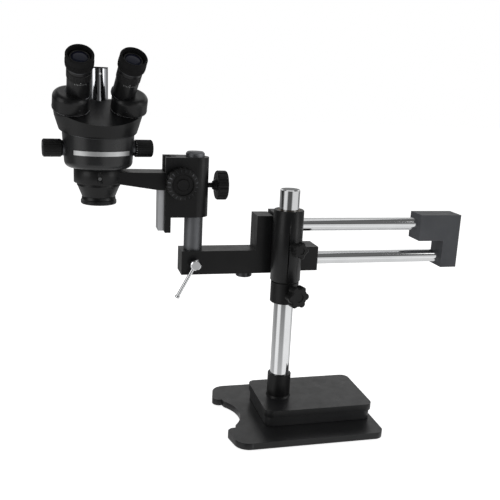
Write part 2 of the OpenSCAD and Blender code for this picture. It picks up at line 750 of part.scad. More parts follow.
module photo_screw() color("#e8e9ea") in_head()
  translate([port_x, port_y + deck_y - port_r - 0.5, port_top - 8]) along_y() set_screw(1.6, 2.4, 0.8);

module photo_cap() color("#121213") in_head() translate([port_x, port_y + deck_y, port_top]) union() {
  disc(port_r, 1.8, 0.5);
  translate([0, 0, -6]) cylinder(r = port_r - 2 - 0.15, h = 6 + eps);
}

module zoom_shaft() color("#b5b7ba") in_head() translate([-zoom_x1 + 8, 0, zoom_z]) along_x()
  cylinder(r = 5, h = 2 * (zoom_x1 - 8));

module zoom_knobs() color("#151516") in_head() for (s = [-1, 1])
  translate([s * zoom_x0, 0, zoom_z]) rotate([0, s * 90, 0]) difference() {
    fluted_knob(zoom_r, zoom_x1 - zoom_x0, 24, 1.1, zoom_r - 3.5, 1);
    translate([0, 0, -eps]) cylinder(r = 5, h = zoom_x1 - zoom_x0 - 8 + eps);
  }

// ---- eyepiece side assemblies ----

module prism_housing(side) on_deck(side) {
  top = drum_h - play;
  difference() {
    union() {
      translate([side * (drum_x - pivot_x), 0, play]) rotate_extrude() union() {
        polygon([[0, 0], [drum_r - 1, 0], [drum_r, 1], [drum_r, top - drum_round],
          [drum_r - drum_round, top], [0, top]]);
        translate([drum_r - drum_round, top - drum_round]) intersection() {
          circle(drum_round);
          square(drum_round);
        }
      }
      translate([0, 0, -spigot_h]) cylinder(r = spigot_r, h = spigot_h + 1);
    }
    translate([0, 0, -spigot_h - eps]) cylinder(r = prism_bore, h = spigot_h + drum_h + 1);
    translate([side * (tube_x - pivot_x), 0, drum_h]) rotate([tube_tilt, side * tube_splay, 0])
      translate([0, 0, -tube_seat]) cylinder(r = tube_r, h = 60);
  }
}

module prism_housing_left() color("#1a1b1d") prism_housing(-1);
module prism_housing_right() color("#1a1b1d") prism_housing(1);

module eye_tube(side) on_tube(side) rotate_extrude() polygon([
  [ocular_r + fit, -tube_seat], [tube_r, -tube_seat], [tube_r, tube_l], [neck_r, tube_l],
  [neck_r, tube_l + dioptre_l], [ocular_r + fit, tube_l + dioptre_l]
]);

module eye_tube_left() color("#1c1d1f") eye_tube(-1);
module eye_tube_right() color("#1c1d1f") eye_tube(1);

module dioptre_ring(side) on_tube(side) translate([0, 0, tube_l + 0.1]) difference() {
  ring(neck_r + fit, dioptre_r, dioptre_l - 0.2, 0.6);
  for (i = [0 : 23]) rotate(i * 15) translate([dioptre_r + 0.5, 0, 2.5]) cylinder(r = 0.9, h = dioptre_l - 5);
}

module dioptre_ring_left() color("#151516") dioptre_ring(-1);
module dioptre_ring_right() color("#151516") dioptre_ring(1);

// Eyepiece: barrel in the tube, a collar over it and the two lenses' cell
module eyepiece(side) on_tube(side) translate([0, 0, tube_l + dioptre_l])
  rotate_extrude() polygon([
    [12, -30], [ocular_r, -30], [ocular_r, 0], [tube_r, 0], [tube_r, ocular_l], [neck_r, ocular_l],
    [neck_r, ocular_l + 12], [14, ocular_l + 14], [0, ocular_l + 14], [0, ocular_l + 8],
    [12, ocular_l + 4]
  ]);

module eyepiece_left() color("#1d1e20") eyepiece(-1);
module eyepiece_right() color("#1d1e20") eyepiece(1);

module eyecup(side) on_tube(side) translate([0, 0, tube_l + dioptre_l + ocular_l])
  rotate_extrude() polygon([
    [neck_r, 0], [cup_r - 1.5, 0], [cup_r, 1.5], [cup_r, cup_l - 2], [cup_r - 1.2, cup_l],
    [cup_r - 3, cup_l - 0.6], [neck_r, 14]
  ]);

module eyecup_left() color("#0f0f10") eyecup(-1);
module eyecup_right() color("#0f0f10") eyecup(1);

base_plate();
base_feet();
weight_lower();
weight_upper();
base_screws();
pillar_socket();
socket_screw();
pillar();
pillar_bolt();
safety_collar();
thrust_washer();
collar_knob();
hub_casting();
hub_bushes();
rod_bushes();
swivel_knob();
arm_lock_knob();
rod_upper();
rod_lower();
front_bracket();
end_cap();
boom_screws();
bracket_nut();
clamp_screw();
clamp_lever();
post();
focus_body();
guide_rails();
rail_screws();
post_lock_knob();
focus_slide();
focus_rack();
ring_arm();
arm_screws();
ring_screw();
pinion();
focus_knob_front();
focus_knob_rear();
head_body();
head_nose();
objective_ring();
objective_lens();
head_top();
name_plate();
photo_tube();
photo_screw();
photo_cap();
zoom_shaft();
zoom_knobs();
prism_housing_left();
eye_tube_left();
dioptre_ring_left();
eyepiece_left();
eyecup_left();
prism_housing_right();
eye_tube_right();
dioptre_ring_right();
eyepiece_right();
eyecup_right();
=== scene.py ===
import json
import math

import bmesh
import bpy
from mathutils import Matrix, Vector


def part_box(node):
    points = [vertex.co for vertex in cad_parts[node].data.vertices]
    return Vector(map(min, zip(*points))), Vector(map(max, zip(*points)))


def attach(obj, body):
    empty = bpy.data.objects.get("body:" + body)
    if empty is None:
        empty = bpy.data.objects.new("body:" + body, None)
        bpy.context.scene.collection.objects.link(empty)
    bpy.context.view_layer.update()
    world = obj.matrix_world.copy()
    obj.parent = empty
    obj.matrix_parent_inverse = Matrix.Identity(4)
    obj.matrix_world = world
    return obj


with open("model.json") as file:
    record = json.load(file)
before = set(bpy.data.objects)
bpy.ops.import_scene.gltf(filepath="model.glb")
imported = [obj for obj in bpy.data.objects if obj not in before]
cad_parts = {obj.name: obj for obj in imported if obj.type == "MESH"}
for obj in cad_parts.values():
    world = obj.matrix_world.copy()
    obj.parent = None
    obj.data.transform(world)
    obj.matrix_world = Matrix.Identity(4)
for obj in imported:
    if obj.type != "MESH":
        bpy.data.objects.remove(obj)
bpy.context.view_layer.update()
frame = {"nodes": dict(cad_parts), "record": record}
MM = 0.001


def new_object(name, data):
    obj = bpy.data.objects.new(name, data)
    bpy.context.scene.collection.objects.link(obj)
    return obj


# ---------------------------------------------------------------- camera and light

# the camera looks along its azimuth, from +Y towards +X, and downwards by its drop
CAMERA_PLACE = Vector((-0.3513, -1.0693, 0.5673))
CAMERA_AZIMUTH = math.radians(15.15)
CAMERA_DROP = math.radians(13.72)
CAMERA_ROLL = math.radians(-2.79)
LENS = 51.19
SENSOR_WIDTH = 36.0

# name, place, width, height and watts of each softbox; all face one point
SOFTBOX_AIM = Vector((0.0, 0.0, 0.28))
SOFTBOXES = (
    ("softbox_left", (-1.9, -0.9, 1.1), 1.0, 1.6, 9),
    ("softbox_right", (1.7, -1.1, 1.0), 0.9, 1.6, 8),
    ("softbox_top", (0.1, 0.3, 2.2), 1.8, 1.8, 6),
)

# The room that the object is lit by and reflects, as ramps of (position, brightness).
# Ramps round the object run from 0 to 1 anticlockwise from -X, with the camera near 0.20.
# Ramps of height run from 0 straight down, through 0.5 level, to 1 straight up.

# round the room: softboxes to the left and right of the camera
AROUND = ((0.0, 0.10), (0.02, 0.88), (0.11, 0.88), (0.145, 0.07), (0.26, 0.07), (0.30, 0.85),
          (0.50, 0.85), (0.56, 0.30), (0.70, 0.30), (0.80, 0.28), (0.93, 0.08), (1.0, 0.08))
# how far up and down those softboxes reach
WINDOW = ((0.0, 0.0), (0.22, 0.1), (0.34, 1.0), (0.56, 1.0), (0.61, 0.05), (1.0, 0.0))
# the pale table below and the open room above
HEIGHT = ((0.0, 0.85), (0.25, 0.85), (0.37, 0.05), (0.5, 0.03), (0.62, 0.02), (0.70, 0.14),
          (0.9, 0.16), (1.0, 0.12))
# a backdrop behind the object, and the band above level in which it is bright
BACKDROP = ((0.0, 0.0), (0.5, 0.0), (0.58, 1.0), (0.86, 1.0), (0.95, 0.0), (1.0, 0.0))
BACKDROP_WINDOW = ((0.0, 0.0), (0.58, 0.0), (0.65, 1.0), (0.75, 1.0), (0.86, 0.2), (1.0, 0.0))

WHITE = (1, 1, 1, 1)
FLOOR_COLOUR = (0.92, 0.92, 0.92, 1)
FLOOR_GLOW = 0.85
# half the floor's width in m, and how far under the feet it lies in mm
FLOOR_REACH = 8
FLOOR_DROP = 0.2


def make_camera():
    data = bpy.data.cameras.new("camera")
    data.lens = LENS
    data.sensor_width = SENSOR_WIDTH
    data.clip_start, data.clip_end = 0.01, 100.0
    camera = new_object("camera", data)
    ahead = Vector((math.sin(CAMERA_AZIMUTH) * math.cos(CAMERA_DROP),
                    math.cos(CAMERA_AZIMUTH) * math.cos(CAMERA_DROP),
                    -math.sin(CAMERA_DROP)))
    level = Vector((math.cos(CAMERA_AZIMUTH), -math.sin(CAMERA_AZIMUTH), 0))
    below = ahead.cross(level)
    right = math.cos(CAMERA_ROLL) * level + math.sin(CAMERA_ROLL) * below
    down = -math.sin(CAMERA_ROLL) * level + math.cos(CAMERA_ROLL) * below
    turn = Matrix((right, -down, -ahead)).transposed()
    camera.matrix_world = Matrix.Translation(CAMERA_PLACE) @ turn.to_4x4()
    bpy.context.scene.camera = camera


def area_light(name, place, width, height, power):
    data = bpy.data.lights.new(name, "AREA")
    data.shape = "RECTANGLE"
    data.size, data.size_y = width, height
    data.energy = power
    light = new_object(name, data)
    light.location = place
    light.rotation_mode = "QUATERNION"
    light.rotation_quaternion = (SOFTBOX_AIM - Vector(place)).to_track_quat("-Z", "Y")
    light.visible_camera = False


def ramp_node(tree, source, stops):
    """Brightness along a value from 0 to 1, as a ramp of (position, brightness)."""
    node = tree.nodes.new("ShaderNodeValToRGB")
    ramp = node.color_ramp
    while len(ramp.elements) > 1:
        ramp.elements.remove(ramp.elements[-1])
    ramp.elements[0].position = stops[0][0]
    ramp.elements[0].color = (*[stops[0][1]] * 3, 1)
    for position, grey in stops[1:]:
        ramp.elements.new(position).color = (*[grey] * 3, 1)
    tree.links.new(source, node.inputs[0])
    return node.outputs[0]


def math_node(tree, operation, *values):
    node = tree.nodes.new("ShaderNodeMath")
    node.operation = operation
    for socket, value in zip(node.inputs, values):
        if isinstance(value, (int, float)):
            socket.default_value = value
        else:
            tree.links.new(value, socket)
    return node.outputs[0]


def camera_switch(tree, to_camera, to_others, target):
    """One shader for the camera's own rays and another for all other rays."""
    path = tree.nodes.new("ShaderNodeLightPath")
    mix = tree.nodes.new("ShaderNodeMixShader")
    tree.links.new(path.outputs["Is Camera Ray"], mix.inputs[0])
    tree.links.new(to_others.outputs[0], mix.inputs[1])
    tree.links.new(to_camera.outputs[0], mix.inputs[2])
    tree.links.new(mix.outputs[0], target)


def make_world():
    """White to the camera; to everything else a studio with softboxes and a backdrop."""
    world = bpy.data.worlds.new("studio")
    bpy.context.scene.world = world
    world.use_nodes = True
    tree = world.node_tree
    tree.nodes.clear()
    out = tree.nodes.new("ShaderNodeOutputWorld")
    seen = tree.nodes.new("ShaderNodeBackground")
    lit = tree.nodes.new("ShaderNodeBackground")
    coord = tree.nodes.new("ShaderNodeTexCoord")
    split = tree.nodes.new("ShaderNodeSeparateXYZ")
    tree.links.new(coord.outputs["Generated"], split.inputs[0])
    angle = math_node(tree, "ARCTAN2", split.outputs["Y"], split.outputs["X"])
    around = math_node(tree, "MULTIPLY_ADD", angle, 0.5 / math.pi, 0.5)
    height = math_node(tree, "MULTIPLY_ADD", split.outputs["Z"], 0.5, 0.5)
    boxes = ramp_node(tree, around, AROUND)
    window = ramp_node(tree, height, WINDOW)
    rest = ramp_node(tree, height, HEIGHT)
    glow = math_node(tree, "MULTIPLY_ADD", boxes, window, rest)
    backdrop = ramp_node(tree, around, BACKDROP)
    backdrop_window = ramp_node(tree, height, BACKDROP_WINDOW)
    total = math_node(tree, "MULTIPLY_ADD", backdrop, backdrop_window, glow)
    tree.links.new(total, lit.inputs["Strength"])
    seen.inputs["Color"].default_value = WHITE
    camera_switch(tree, seen, lit, out.inputs[0])


def make_floor():
    """A white floor that only the camera sees, just under the feet."""
    mesh = bpy.data.meshes.new("floor")
    grid = bmesh.new()
    bmesh.ops.create_grid(grid, x_segments=1, y_segments=1, size=FLOOR_REACH)
    grid.to_mesh(mesh)
    grid.free()
    floor = new_object("floor", mesh)
    material = bpy.data.materials.new("floor_white")
    material.use_nodes = True
    tree = material.node_tree
    shader = tree.nodes["Principled BSDF"]
    shader.inputs["Base Color"].default_value = FLOOR_COLOUR
    shader.inputs["Roughness"].default_value = 0.9
    shader.inputs["Specular IOR Level"].default_value = 0.1
    shader.inputs["Emission Color"].default_value = WHITE
    shader.inputs["Emission Strength"].default_value = FLOOR_GLOW
    clear = tree.nodes.new("ShaderNodeBsdfTransparent")
    camera_switch(tree, shader, clear, tree.nodes["Material Output"].inputs[0])
    mesh.materials.append(material)
    floor.location = (0, 0, -FLOOR_DROP * MM)


def make_studio():
    scene = bpy.context.scene
    scene.view_settings.view_transform = "Standard"
    scene.view_settings.look = "None"
    scene.view_settings.exposure = 0
    make_camera()
    make_world()
    make_floor()
    for softbox in SOFTBOXES:
        area_light(*softbox)


# ---------------------------------------------------------------- materials

# the span in which most of a noise's values lie
NOISE_SPAN = (0.35, 0.7)
# how far rounding turns the surface, as a cosine: where wear starts and where it is full
WEAR_SPAN = (0.97, 0.72)
# how a noise is stretched: into streaks along an axis, or rings round Z
ALONG_X = (0.04, 1, 1)
ALONG_Z = (1, 1, 0.05)
RINGS = (1, 1, 18)
FINE_RINGS = (1, 1, 30)
# sockets of a Mix node that take and give colours
MIX_FIRST, MIX_SECOND, MIX_RESULT = 6, 7, 2


class Look:
    """One procedural material; coordinates are the object's own, in metres."""

    def __init__(self, name, colour, rough, metal=0.0, level=0.5, coat=0.0, coat_rough=0.1):
        self.material = bpy.data.materials.new(name)
        self.material.use_nodes = True
        self.tree = self.material.node_tree
        self.shader = self.tree.nodes["Principled BSDF"]
        self.place = self.add("ShaderNodeTexCoord").outputs["Object"]
        self.set("Base Color", (*colour, 1))
        self.set("Roughness", rough)
        self.set("Metallic", metal)
        self.set("Specular IOR Level", level)
        self.set("Coat Weight", coat)
        self.set("Coat Roughness", coat_rough)
        self.material.diffuse_color = (*colour, 1)

    def add(self, kind):
        return self.tree.nodes.new(kind)

    def set(self, socket, value):
        self.shader.inputs[socket].default_value = value

    def link(self, source, target):
        self.tree.links.new(source, target)

    def stretched(self, scale):
        node = self.add("ShaderNodeMapping")
        node.inputs["Scale"].default_value = scale
        self.link(self.place, node.inputs["Vector"])
        return node.outputs[0]

    def noise(self, scale, detail=3.0, rough=0.55, stretch=None):
        node = self.add("ShaderNodeTexNoise")
        self.link(self.stretched(stretch) if stretch else self.place, node.inputs["Vector"])
        node.inputs["Scale"].default_value = scale
        node.inputs["Detail"].default_value = detail
        node.inputs["Roughness"].default_value = rough
        return node.outputs["Fac"]

    def cells(self, scale):
        node = self.add("ShaderNodeTexVoronoi")
        self.link(self.place, node.inputs["Vector"])
        node.inputs["Scale"].default_value = scale
        return node.outputs["Distance"]

    def spread(self, value, span, target=(0.0, 1.0)):
        """A span of a value stretched over a target range, and held at its ends."""
        node = self.add("ShaderNodeMapRange")
        for socket, number in zip(("From Min", "From Max", "To Min", "To Max"), (*span, *target)):
            node.inputs[socket].default_value = number
        self.link(value, node.inputs["Value"])
        return node.outputs[0]

    def times(self, a, b):
        return math_node(self.tree, "MULTIPLY", a, b)

    def edges(self, radius):
        """1 along outer and inner edges, 0 on faces."""
        bevel = self.add("ShaderNodeBevel")
        bevel.samples = 4
        bevel.inputs["Radius"].default_value = radius
        flat = self.add("ShaderNodeNewGeometry")
        dot = self.add("ShaderNodeVectorMath")
        dot.operation = "DOT_PRODUCT"
        self.link(bevel.outputs[0], dot.inputs[0])
        self.link(flat.outputs["Normal"], dot.inputs[1])
        return self.spread(dot.outputs["Value"], WEAR_SPAN)

    def blend(self, factor, first, second):
        node = self.add("ShaderNodeMix")
        node.data_type = "RGBA"
        node.clamp_factor = True
        self.link(factor, node.inputs[0])
        for socket, colour in ((MIX_FIRST, first), (MIX_SECOND, second)):
            if isinstance(colour, tuple):
                node.inputs[socket].default_value = (*colour, 1)
            else:
                self.link(colour, node.inputs[socket])
        return node.outputs[MIX_RESULT]

    def colour_from(self, output):
        self.link(output, self.shader.inputs["Base Color"])

    def rough_from(self, output):
        self.link(output, self.shader.inputs["Roughness"])

    def bump(self, *layers):
        """Layers of (height, strength, depth in metres), the finest first."""
        last = None
        for height, strength, depth in layers:
            node = self.add("ShaderNodeBump")
            node.inputs["Strength"].default_value = strength
            node.inputs["Distance"].default_value = depth
            self.link(height, node.inputs["Height"])
            if last is not None:
                self.link(last, node.inputs["Normal"])
            last = node.outputs[0]
        self.link(last, self.shader.inputs["Normal"])


def shade(colour, gain, lift=0.0):
    return tuple(c * gain + lift for c in colour)


def painted_casting(name, colour, rough, skin, wear=0.4, coat=0.12):
    """Stoved enamel over a casting: orange peel, dulled patches, dust, rubbed edges."""
    look = Look(name, colour, rough, level=0.24, coat=coat, coat_rough=0.25)
    patches = look.spread(look.noise(9.0, detail=4.0), NOISE_SPAN)
    dust = look.noise(60.0, detail=6.0, rough=0.7)
    body = look.blend(patches, colour, shade(colour, 1.5, 0.004))
    broken = look.spread(look.noise(120.0, detail=5.0), (0.42, 0.62))
    rubbed = look.times(look.times(look.edges(0.9 * MM), broken), wear)
    look.colour_from(look.blend(rubbed, body, shade(colour, 5, 0.05)))
    look.rough_from(look.spread(dust, (0.3, 0.75), (rough - 0.06, rough + 0.12)))
    grain = (look.noise(2600.0, detail=2.0), 0.22, 0.00004)
    peel = (look.noise(skin, detail=2.0), 0.35, 0.00012)
    look.bump(grain, peel)
    return look.material


def turned_metal(name, colour, rough, stretch, depth=0.00001, patina=0.08):
    """Bare metal with the fine lines of its machining."""
    look = Look(name, colour, rough, metal=1.0)
    lines = look.noise(900.0, detail=4.0, rough=0.6, stretch=stretch)
    smear = look.noise(22.0, detail=5.0, rough=0.6)
    darker = shade(colour, 1 - patina * 2.2)
    look.colour_from(look.blend(look.spread(smear, NOISE_SPAN), colour, darker))
    look.rough_from(look.spread(smear, (0.3, 0.7), (rough - 0.03, rough + 0.06)))
    look.bump((lines, 0.25, depth))
    return look.material


def moulded(name, colour, rough, grain, depth=0.00006, level=0.4):
    """Moulded plastic or rubber with a fine spark-eroded skin."""
    look = Look(name, colour, rough, level=level)
    tone = look.spread(look.noise(30.0, detail=5.0, rough=0.65), NOISE_SPAN)
    broken = look.spread(look.noise(200.0, detail=4.0), (0.45, 0.65), (0.0, 0.6))
    scuff = look.times(look.edges(0.7 * MM), broken)
    body = look.blend(tone, colour, shade(colour, 1.45, 0.003))
    look.colour_from(look.blend(scuff, body, shade(colour, 3, 0.03)))
    sheen = look.noise(90.0, detail=4.0)
    look.rough_from(look.spread(sheen, (0.3, 0.7), (rough - 0.07, rough + 0.08)))
    sparked = (look.cells(grain), 0.3, depth)
    waves = (look.noise(220.0, detail=2.0), 0.12, 0.0001)
    look.bump(sparked, waves)
    return look.material


def lens_glass(name, reflection_tint, level=0.9, coat=1.0):
    """Coated optic over a blackened cell; the coating's coloured reflection is painted into its
    colour, strongest at grazing view.
    """
    look = Look(name, (0.012, 0.014, 0.02), 0.04, level=level, coat=coat, coat_rough=0.02)
    facing = look.add("ShaderNodeLayerWeight")
    facing.inputs["Blend"].default_value = 0.35
    dust = look.spread(look.noise(400.0, detail=6.0, rough=0.7), (0.62, 0.8), (0.0, 0.12))
    # painted reflection: the colour turns to the coating's tint as the surface turns away from the
    # view
    coating_painted_reflection = look.blend(facing.outputs["Facing"], (0.012, 0.016, 0.03), reflection_tint)
    look.colour_from(look.blend(dust, coating_painted_reflection, (0.3, 0.3, 0.3)))
    look.rough_from(look.spread(look.noise(70.0, detail=4.0), (0.3, 0.8), (0.02, 0.08)))
    return look.material


def make_materials():
    """A procedural material for every slot, and the finishes that stand in for some of them, two
    of which are lighter copies of a paint with painted light.
    """
    looks = {}

    def add(kind, name, *values, **more):
        looks[name] = kind(name, *values, **more)

    add(painted_casting, "cast_iron_paint", (0.0145, 0.0147, 0.0154), 0.32, 420.0, wear=0.6)
    add(painted_casting, "casting_paint", (0.0062, 0.0063, 0.0067), 0.38, 560.0)
    add(painted_casting, "cap_paint", (0.068, 0.071, 0.078), 0.46, 520.0, wear=0.35)
    add(painted_casting, "head_paint", (0.0048, 0.0049, 0.0053), 0.33, 900.0, wear=0.25, coat=0.2)
    add(turned_metal, "chrome", (0.86, 0.87, 0.88), 0.07, ALONG_Z, depth=0.000003,
        patina=0.03)
    add(turned_metal, "satin_steel", (0.2, 0.205, 0.215), 0.5, RINGS, depth=0.00002)
    add(turned_metal, "machined_aluminium", (0.82, 0.83, 0.85), 0.34, ALONG_Z, depth=0.00002)
    add(moulded, "knob_plastic", (0.0055, 0.0055, 0.0057), 0.47, 2600.0, level=0.25)
    add(moulded, "washer_plastic", (0.02, 0.02, 0.02), 0.5, 1800.0)
    add(moulded, "rubber", (0.005, 0.005, 0.0052), 0.74, 3200.0, depth=0.00008, level=0.16)
    add(turned_metal, "bronze", (0.15, 0.105, 0.06), 0.36, ALONG_X, depth=0.00002, patina=0.14)
    add(turned_metal, "dark_steel", (0.085, 0.087, 0.092), 0.33, ALONG_X, patina=0.1)
    add(lens_glass, "lens_glass", (0.09, 0.03, 0.16))
    add(lens_glass, "eye_glass", (0.012, 0.008, 0.02), level=0.15, coat=0.0)
    # a lighter copy of the head paint: the lighter colour is painted sheen standing in for the
    # head body's reflections
    add(painted_casting, "body_paint", (0.0105, 0.0108, 0.0116), 0.3, 900.0, wear=0.25, coat=0.6)
    # a lighter copy of the cast iron paint: painted light that brightens the lower slab's front
    add(painted_casting, "slab_paint", (0.026, 0.0265, 0.0275), 0.36, 420.0)
    add(turned_metal, "polished_aluminium", (0.5, 0.51, 0.53), 0.1, ALONG_Z, depth=0.000006)
    add(turned_metal, "plate_metal", (0.66, 0.665, 0.67), 0.42, FINE_RINGS, depth=0.00002)
    return looks


# nodes and pieces whose finish differs a little from the rest of their slot; the head body and
# lower slab take lighter copies of their paint as painted light
FINISHES = {
    # head body in a lighter copy of the head paint, a painted sheen
    "head_body": "body_paint",
    "photo_tube": "polished_aluminium",
    # lower slab in a lighter copy of the base paint, painted light
    "weight_lower": "slab_paint",
    "eye_lens_left": "eye_glass",
    "eye_lens_right": "eye_glass",
}


def finish(looks, name, slot):
    return looks[FINISHES.get(name, slot)]


def dress(looks):
    """Every CAD node takes the procedural material of its slot."""
    slots = {part["node"]: part["material_slot"] for part in frame["record"]["subparts"]}
    for node, obj in frame["nodes"].items():
        obj.data.materials.clear()
        obj.data.materials.append(finish(looks, node, slots[node]))


# widths in mm of the true rounded edges on castings and dovetails
ROUNDED = {
    "base_plate": 1.6, "weight_lower": 1.4, "weight_upper": 2.6, "front_bracket": 1.2,
    "end_cap": 1.3, "focus_body": 1.0, "guide_rails": 0.5, "focus_slide": 0.4, "ring_arm": 0.8,
    "hub_casting": 1.0,
}
ROUNDED_SEGMENTS = 3
# the least turn between two faces that makes their edge a rounded one
ROUNDED_FROM = math.radians(50)
# points nearer than this, in m, are one point to the rounding
WELD_REACH = 0.00002


def round_edges():
    """Rounded edges by modifiers, which leave each mesh as it is."""
    for node, width in ROUNDED.items():
        obj = frame["nodes"][node]
        weld = obj.modifiers.new("weld", "WELD")
        weld.merge_threshold = WELD_REACH
        bevel = obj.modifiers.new("rounded", "BEVEL")
        bevel.width = width * MM
        bevel.segments = ROUNDED_SEGMENTS
        bevel.limit_method = "ANGLE"
        bevel.angle_limit = ROUNDED_FROM
        bevel.harden_normals = True
        bevel.use_clamp_overlap = True


# ---------------------------------------------------------------- frames of the head

# places in mm and turns, as the CAD has them
HEAD_YAW = math.radians(7)
SEAM_TILT = math.radians(10)
SEAM_Z = 478
ZOOM_Z = 450
DECK_TILT = math.radians(25)
DECK_Y, DECK_Z = -14, 510
PIVOT_X, TUBE_X, HOUSING_X = 30, 33, 43
HOUSING_HEIGHT = 26
TUBE_TILT = math.radians(17)
TUBE_SPLAY = math.radians(4)
SIDES = ((-1, "left"), (1, "right"))
FACES = ((1, "front"), (-1, "rear"))


def turned(axis, angle):
    return Matrix.Rotation(angle, 4, axis)


def moved(x, y, z):
    return Matrix.Translation((x * MM, y * MM, z * MM))


def centre_of(node):
    low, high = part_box(node)
    return (low + high) / 2


def head_frame():
    """Head's axis at table level, X to the right-hand zoom knob."""
    axis = centre_of("head_nose")
    return Matrix.Translation((axis.x, axis.y, 0)) @ turned("Z", HEAD_YAW)


def deck_frame(side):
    """Pivot of one prism housing, on the sloping deck."""
    deck = head_frame() @ moved(0, DECK_Y, DECK_Z) @ turned("X", DECK_TILT)
    return deck @ moved(side * PIVOT_X, 0, 0)


def tube_frame(side):
    """Seat of one eye tube, Z along the tube."""
    return (deck_frame(side) @ moved(side * (TUBE_X - PIVOT_X), 0, HOUSING_HEIGHT)
            @ turned("Y", side * TUBE_SPLAY) @ turned("X", TUBE_TILT))


def axle_frame(face, y):
    """On the pinion's axis at depth y, Z pointing out of the front or rear face."""
    axle = centre_of("focus_knob_front")
    return Matrix.Translation((axle.x, y, axle.z)) @ turned("X", face * math.pi / 2)


# ---------------------------------------------------------------- added pieces

# steps round a turned piece, more of them the wider it is
LATHE_STEPS, FINE_STEPS, SEAM_STEPS = 72, 96, 128
# the least turn between two faces that is shaded as a sharp edge
SHARP_FROM = math.radians(35)
# a profile's point with a smaller radius than this, in mm, lies on the axis
ON_AXIS = 1e-6
# chamfer of a bar as a share of its least size
BAR_CHAMFER = 0.2

# Screw head: sides sunk into the part, and the shares of its radius and height
# at which the rim rounds off and the hexagon socket starts and ends.
SCREW_STEPS = 24
SCREW_SUNK = 0.6
SCREW_RIM_WIDTH, SCREW_RIM_HEIGHT = 0.86, 0.6
SOCKET_WIDTH, SOCKET_FLOOR = 0.45, 0.4


def piece(looks, name, mesh_data, place, slot, body, smooth=True):
    """A new visible piece from a bmesh, put in place and riding on its body."""
    mesh = bpy.data.meshes.new(name)
    bmesh.ops.recalc_face_normals(mesh_data, faces=mesh_data.faces)
    mesh_data.to_mesh(mesh)
    mesh_data.free()
    mesh.transform(place)
    mesh.materials.append(finish(looks, name, slot))
    if smooth:
        mesh.shade_smooth()
        mesh.set_sharp_from_angle(angle=SHARP_FROM)
    obj = new_object(name, mesh)
    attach(obj, body)


def circle(_angle):
    return 1.0


def hexagon(angle):
    """Reach of a hexagon at an angle, as a share of the reach of its corners."""
    return math.cos(math.pi / 6) / math.cos((angle % (math.pi / 3)) - math.pi / 6)


def ring(data, radius, height, steps, outline=circle):
    """Points round Z, their reach at each angle a share of the radius."""
    verts = []
    for i in range(steps):
        angle = 2 * math.pi * i / steps
        reach = radius * outline(angle) * MM
        verts.append(data.verts.new((reach * math.cos(angle), reach * math.sin(angle),
                                     height * MM)))
    return verts


def stitch(data, first, second):
    """Faces between two rings, of which one may be a single point on the axis."""
    steps = max(len(first), len(second))
    for i in range(steps):
        j = (i + 1) % steps
        if len(first) == 1:
            data.faces.new((first[0], second[i], second[j]))
        elif len(second) == 1:
            data.faces.new((first[i], second[0], first[j]))
        else:
            data.faces.new((first[i], second[i], second[j], first[j]))


def lathe(looks, name, profile, place, slot, body, steps=LATHE_STEPS):
    """Closed ring or disc turned from a profile of (radius, height) points in mm."""
    data = bmesh.new()
    rings = []
    for radius, height in profile:
        if radius < ON_AXIS:
            rings.append([data.verts.new((0, 0, height * MM))])
        else:
            rings.append(ring(data, radius, height, steps))
    is_disc = profile[0][0] < ON_AXIS
    for first, second in zip(rings, rings[1:]):
        stitch(data, first, second)
    if not is_disc:
        stitch(data, rings[-1], rings[0])
    piece(looks, name, data, place, slot, body)


def bars(looks, name, spots, place, slot, body):
    """Little raised bars, one closed block per (matrix, x, y, z sizes in mm)."""
    data = bmesh.new()
    for spot, x, y, z in spots:
        before = set(data.verts)
        made = bmesh.ops.create_cube(data, size=1.0)["verts"]
        bmesh.ops.scale(data, verts=made, vec=(x * MM, y * MM, z * MM))
        bmesh.ops.bevel(data, geom=list({e for v in made for e in v.link_edges}),
                        offset=min(x, y, z) * BAR_CHAMFER * MM, segments=1, affect="EDGES")
        fresh = [v for v in data.verts if v not in before]
        bmesh.ops.transform(data, verts=fresh, matrix=spot)
    piece(looks, name, data, place, slot, body, smooth=False)


def screw(looks, name, place, radius, proud, slot, body):
    """Pan screw head with a hexagon socket, its face along +Z."""
    data = bmesh.new()
    rings = [ring(data, r, h, SCREW_STEPS) for r, h in (
        (radius, -SCREW_SUNK), (radius, proud * SCREW_RIM_HEIGHT),
        (radius * SCREW_RIM_WIDTH, proud))]
    rings += [ring(data, radius * SOCKET_WIDTH, h, SCREW_STEPS, hexagon)
              for h in (proud, proud * SOCKET_FLOOR)]
    for first, second in zip(rings, rings[1:]):
        stitch(data, first, second)
    data.faces.new(rings[-1])
    data.faces.new(list(reversed(rings[0])))
    piece(looks, name, data, place, slot, body)


# ---------------------------------------------------------------- eyepieces and housings

# profiles of (radius, height) in mm, on the tube's seat
EYE_LENS = [(0, 64.2), (11.8, 64.2), (12.2, 64.9), (11, 65.7), (8, 66.5), (4, 67), (0, 67.15)]
EYE_LENS_RING = [(11.9, 64.6), (14.2, 64.6), (14.2, 65.7), (13.7, 66.2), (12.5, 66.2),
                 (11.9, 65.6)]
EYEPIECE_BAND = [(16.6, 48.6), (17.45, 48.6), (17.55, 49), (17.55, 49.8), (17.45, 50.2),
                 (16.6, 50.2)]
TUBE_COLLAR = [(17.0, -1.4), (19.2, -1.4), (19.2, 1.3), (18.6, 1.9), (17.0, 1.9)]

# half-round ribs on the eyecup: wire radius, depth of their root and how flat they stand
CUP_RADIUS = 20.0
RIB_WIRE = 0.45
RIB_ROOT = 0.4
RIB_FLATNESS = 0.7
RIB_HEIGHTS = (55.5, 58, 60.5)

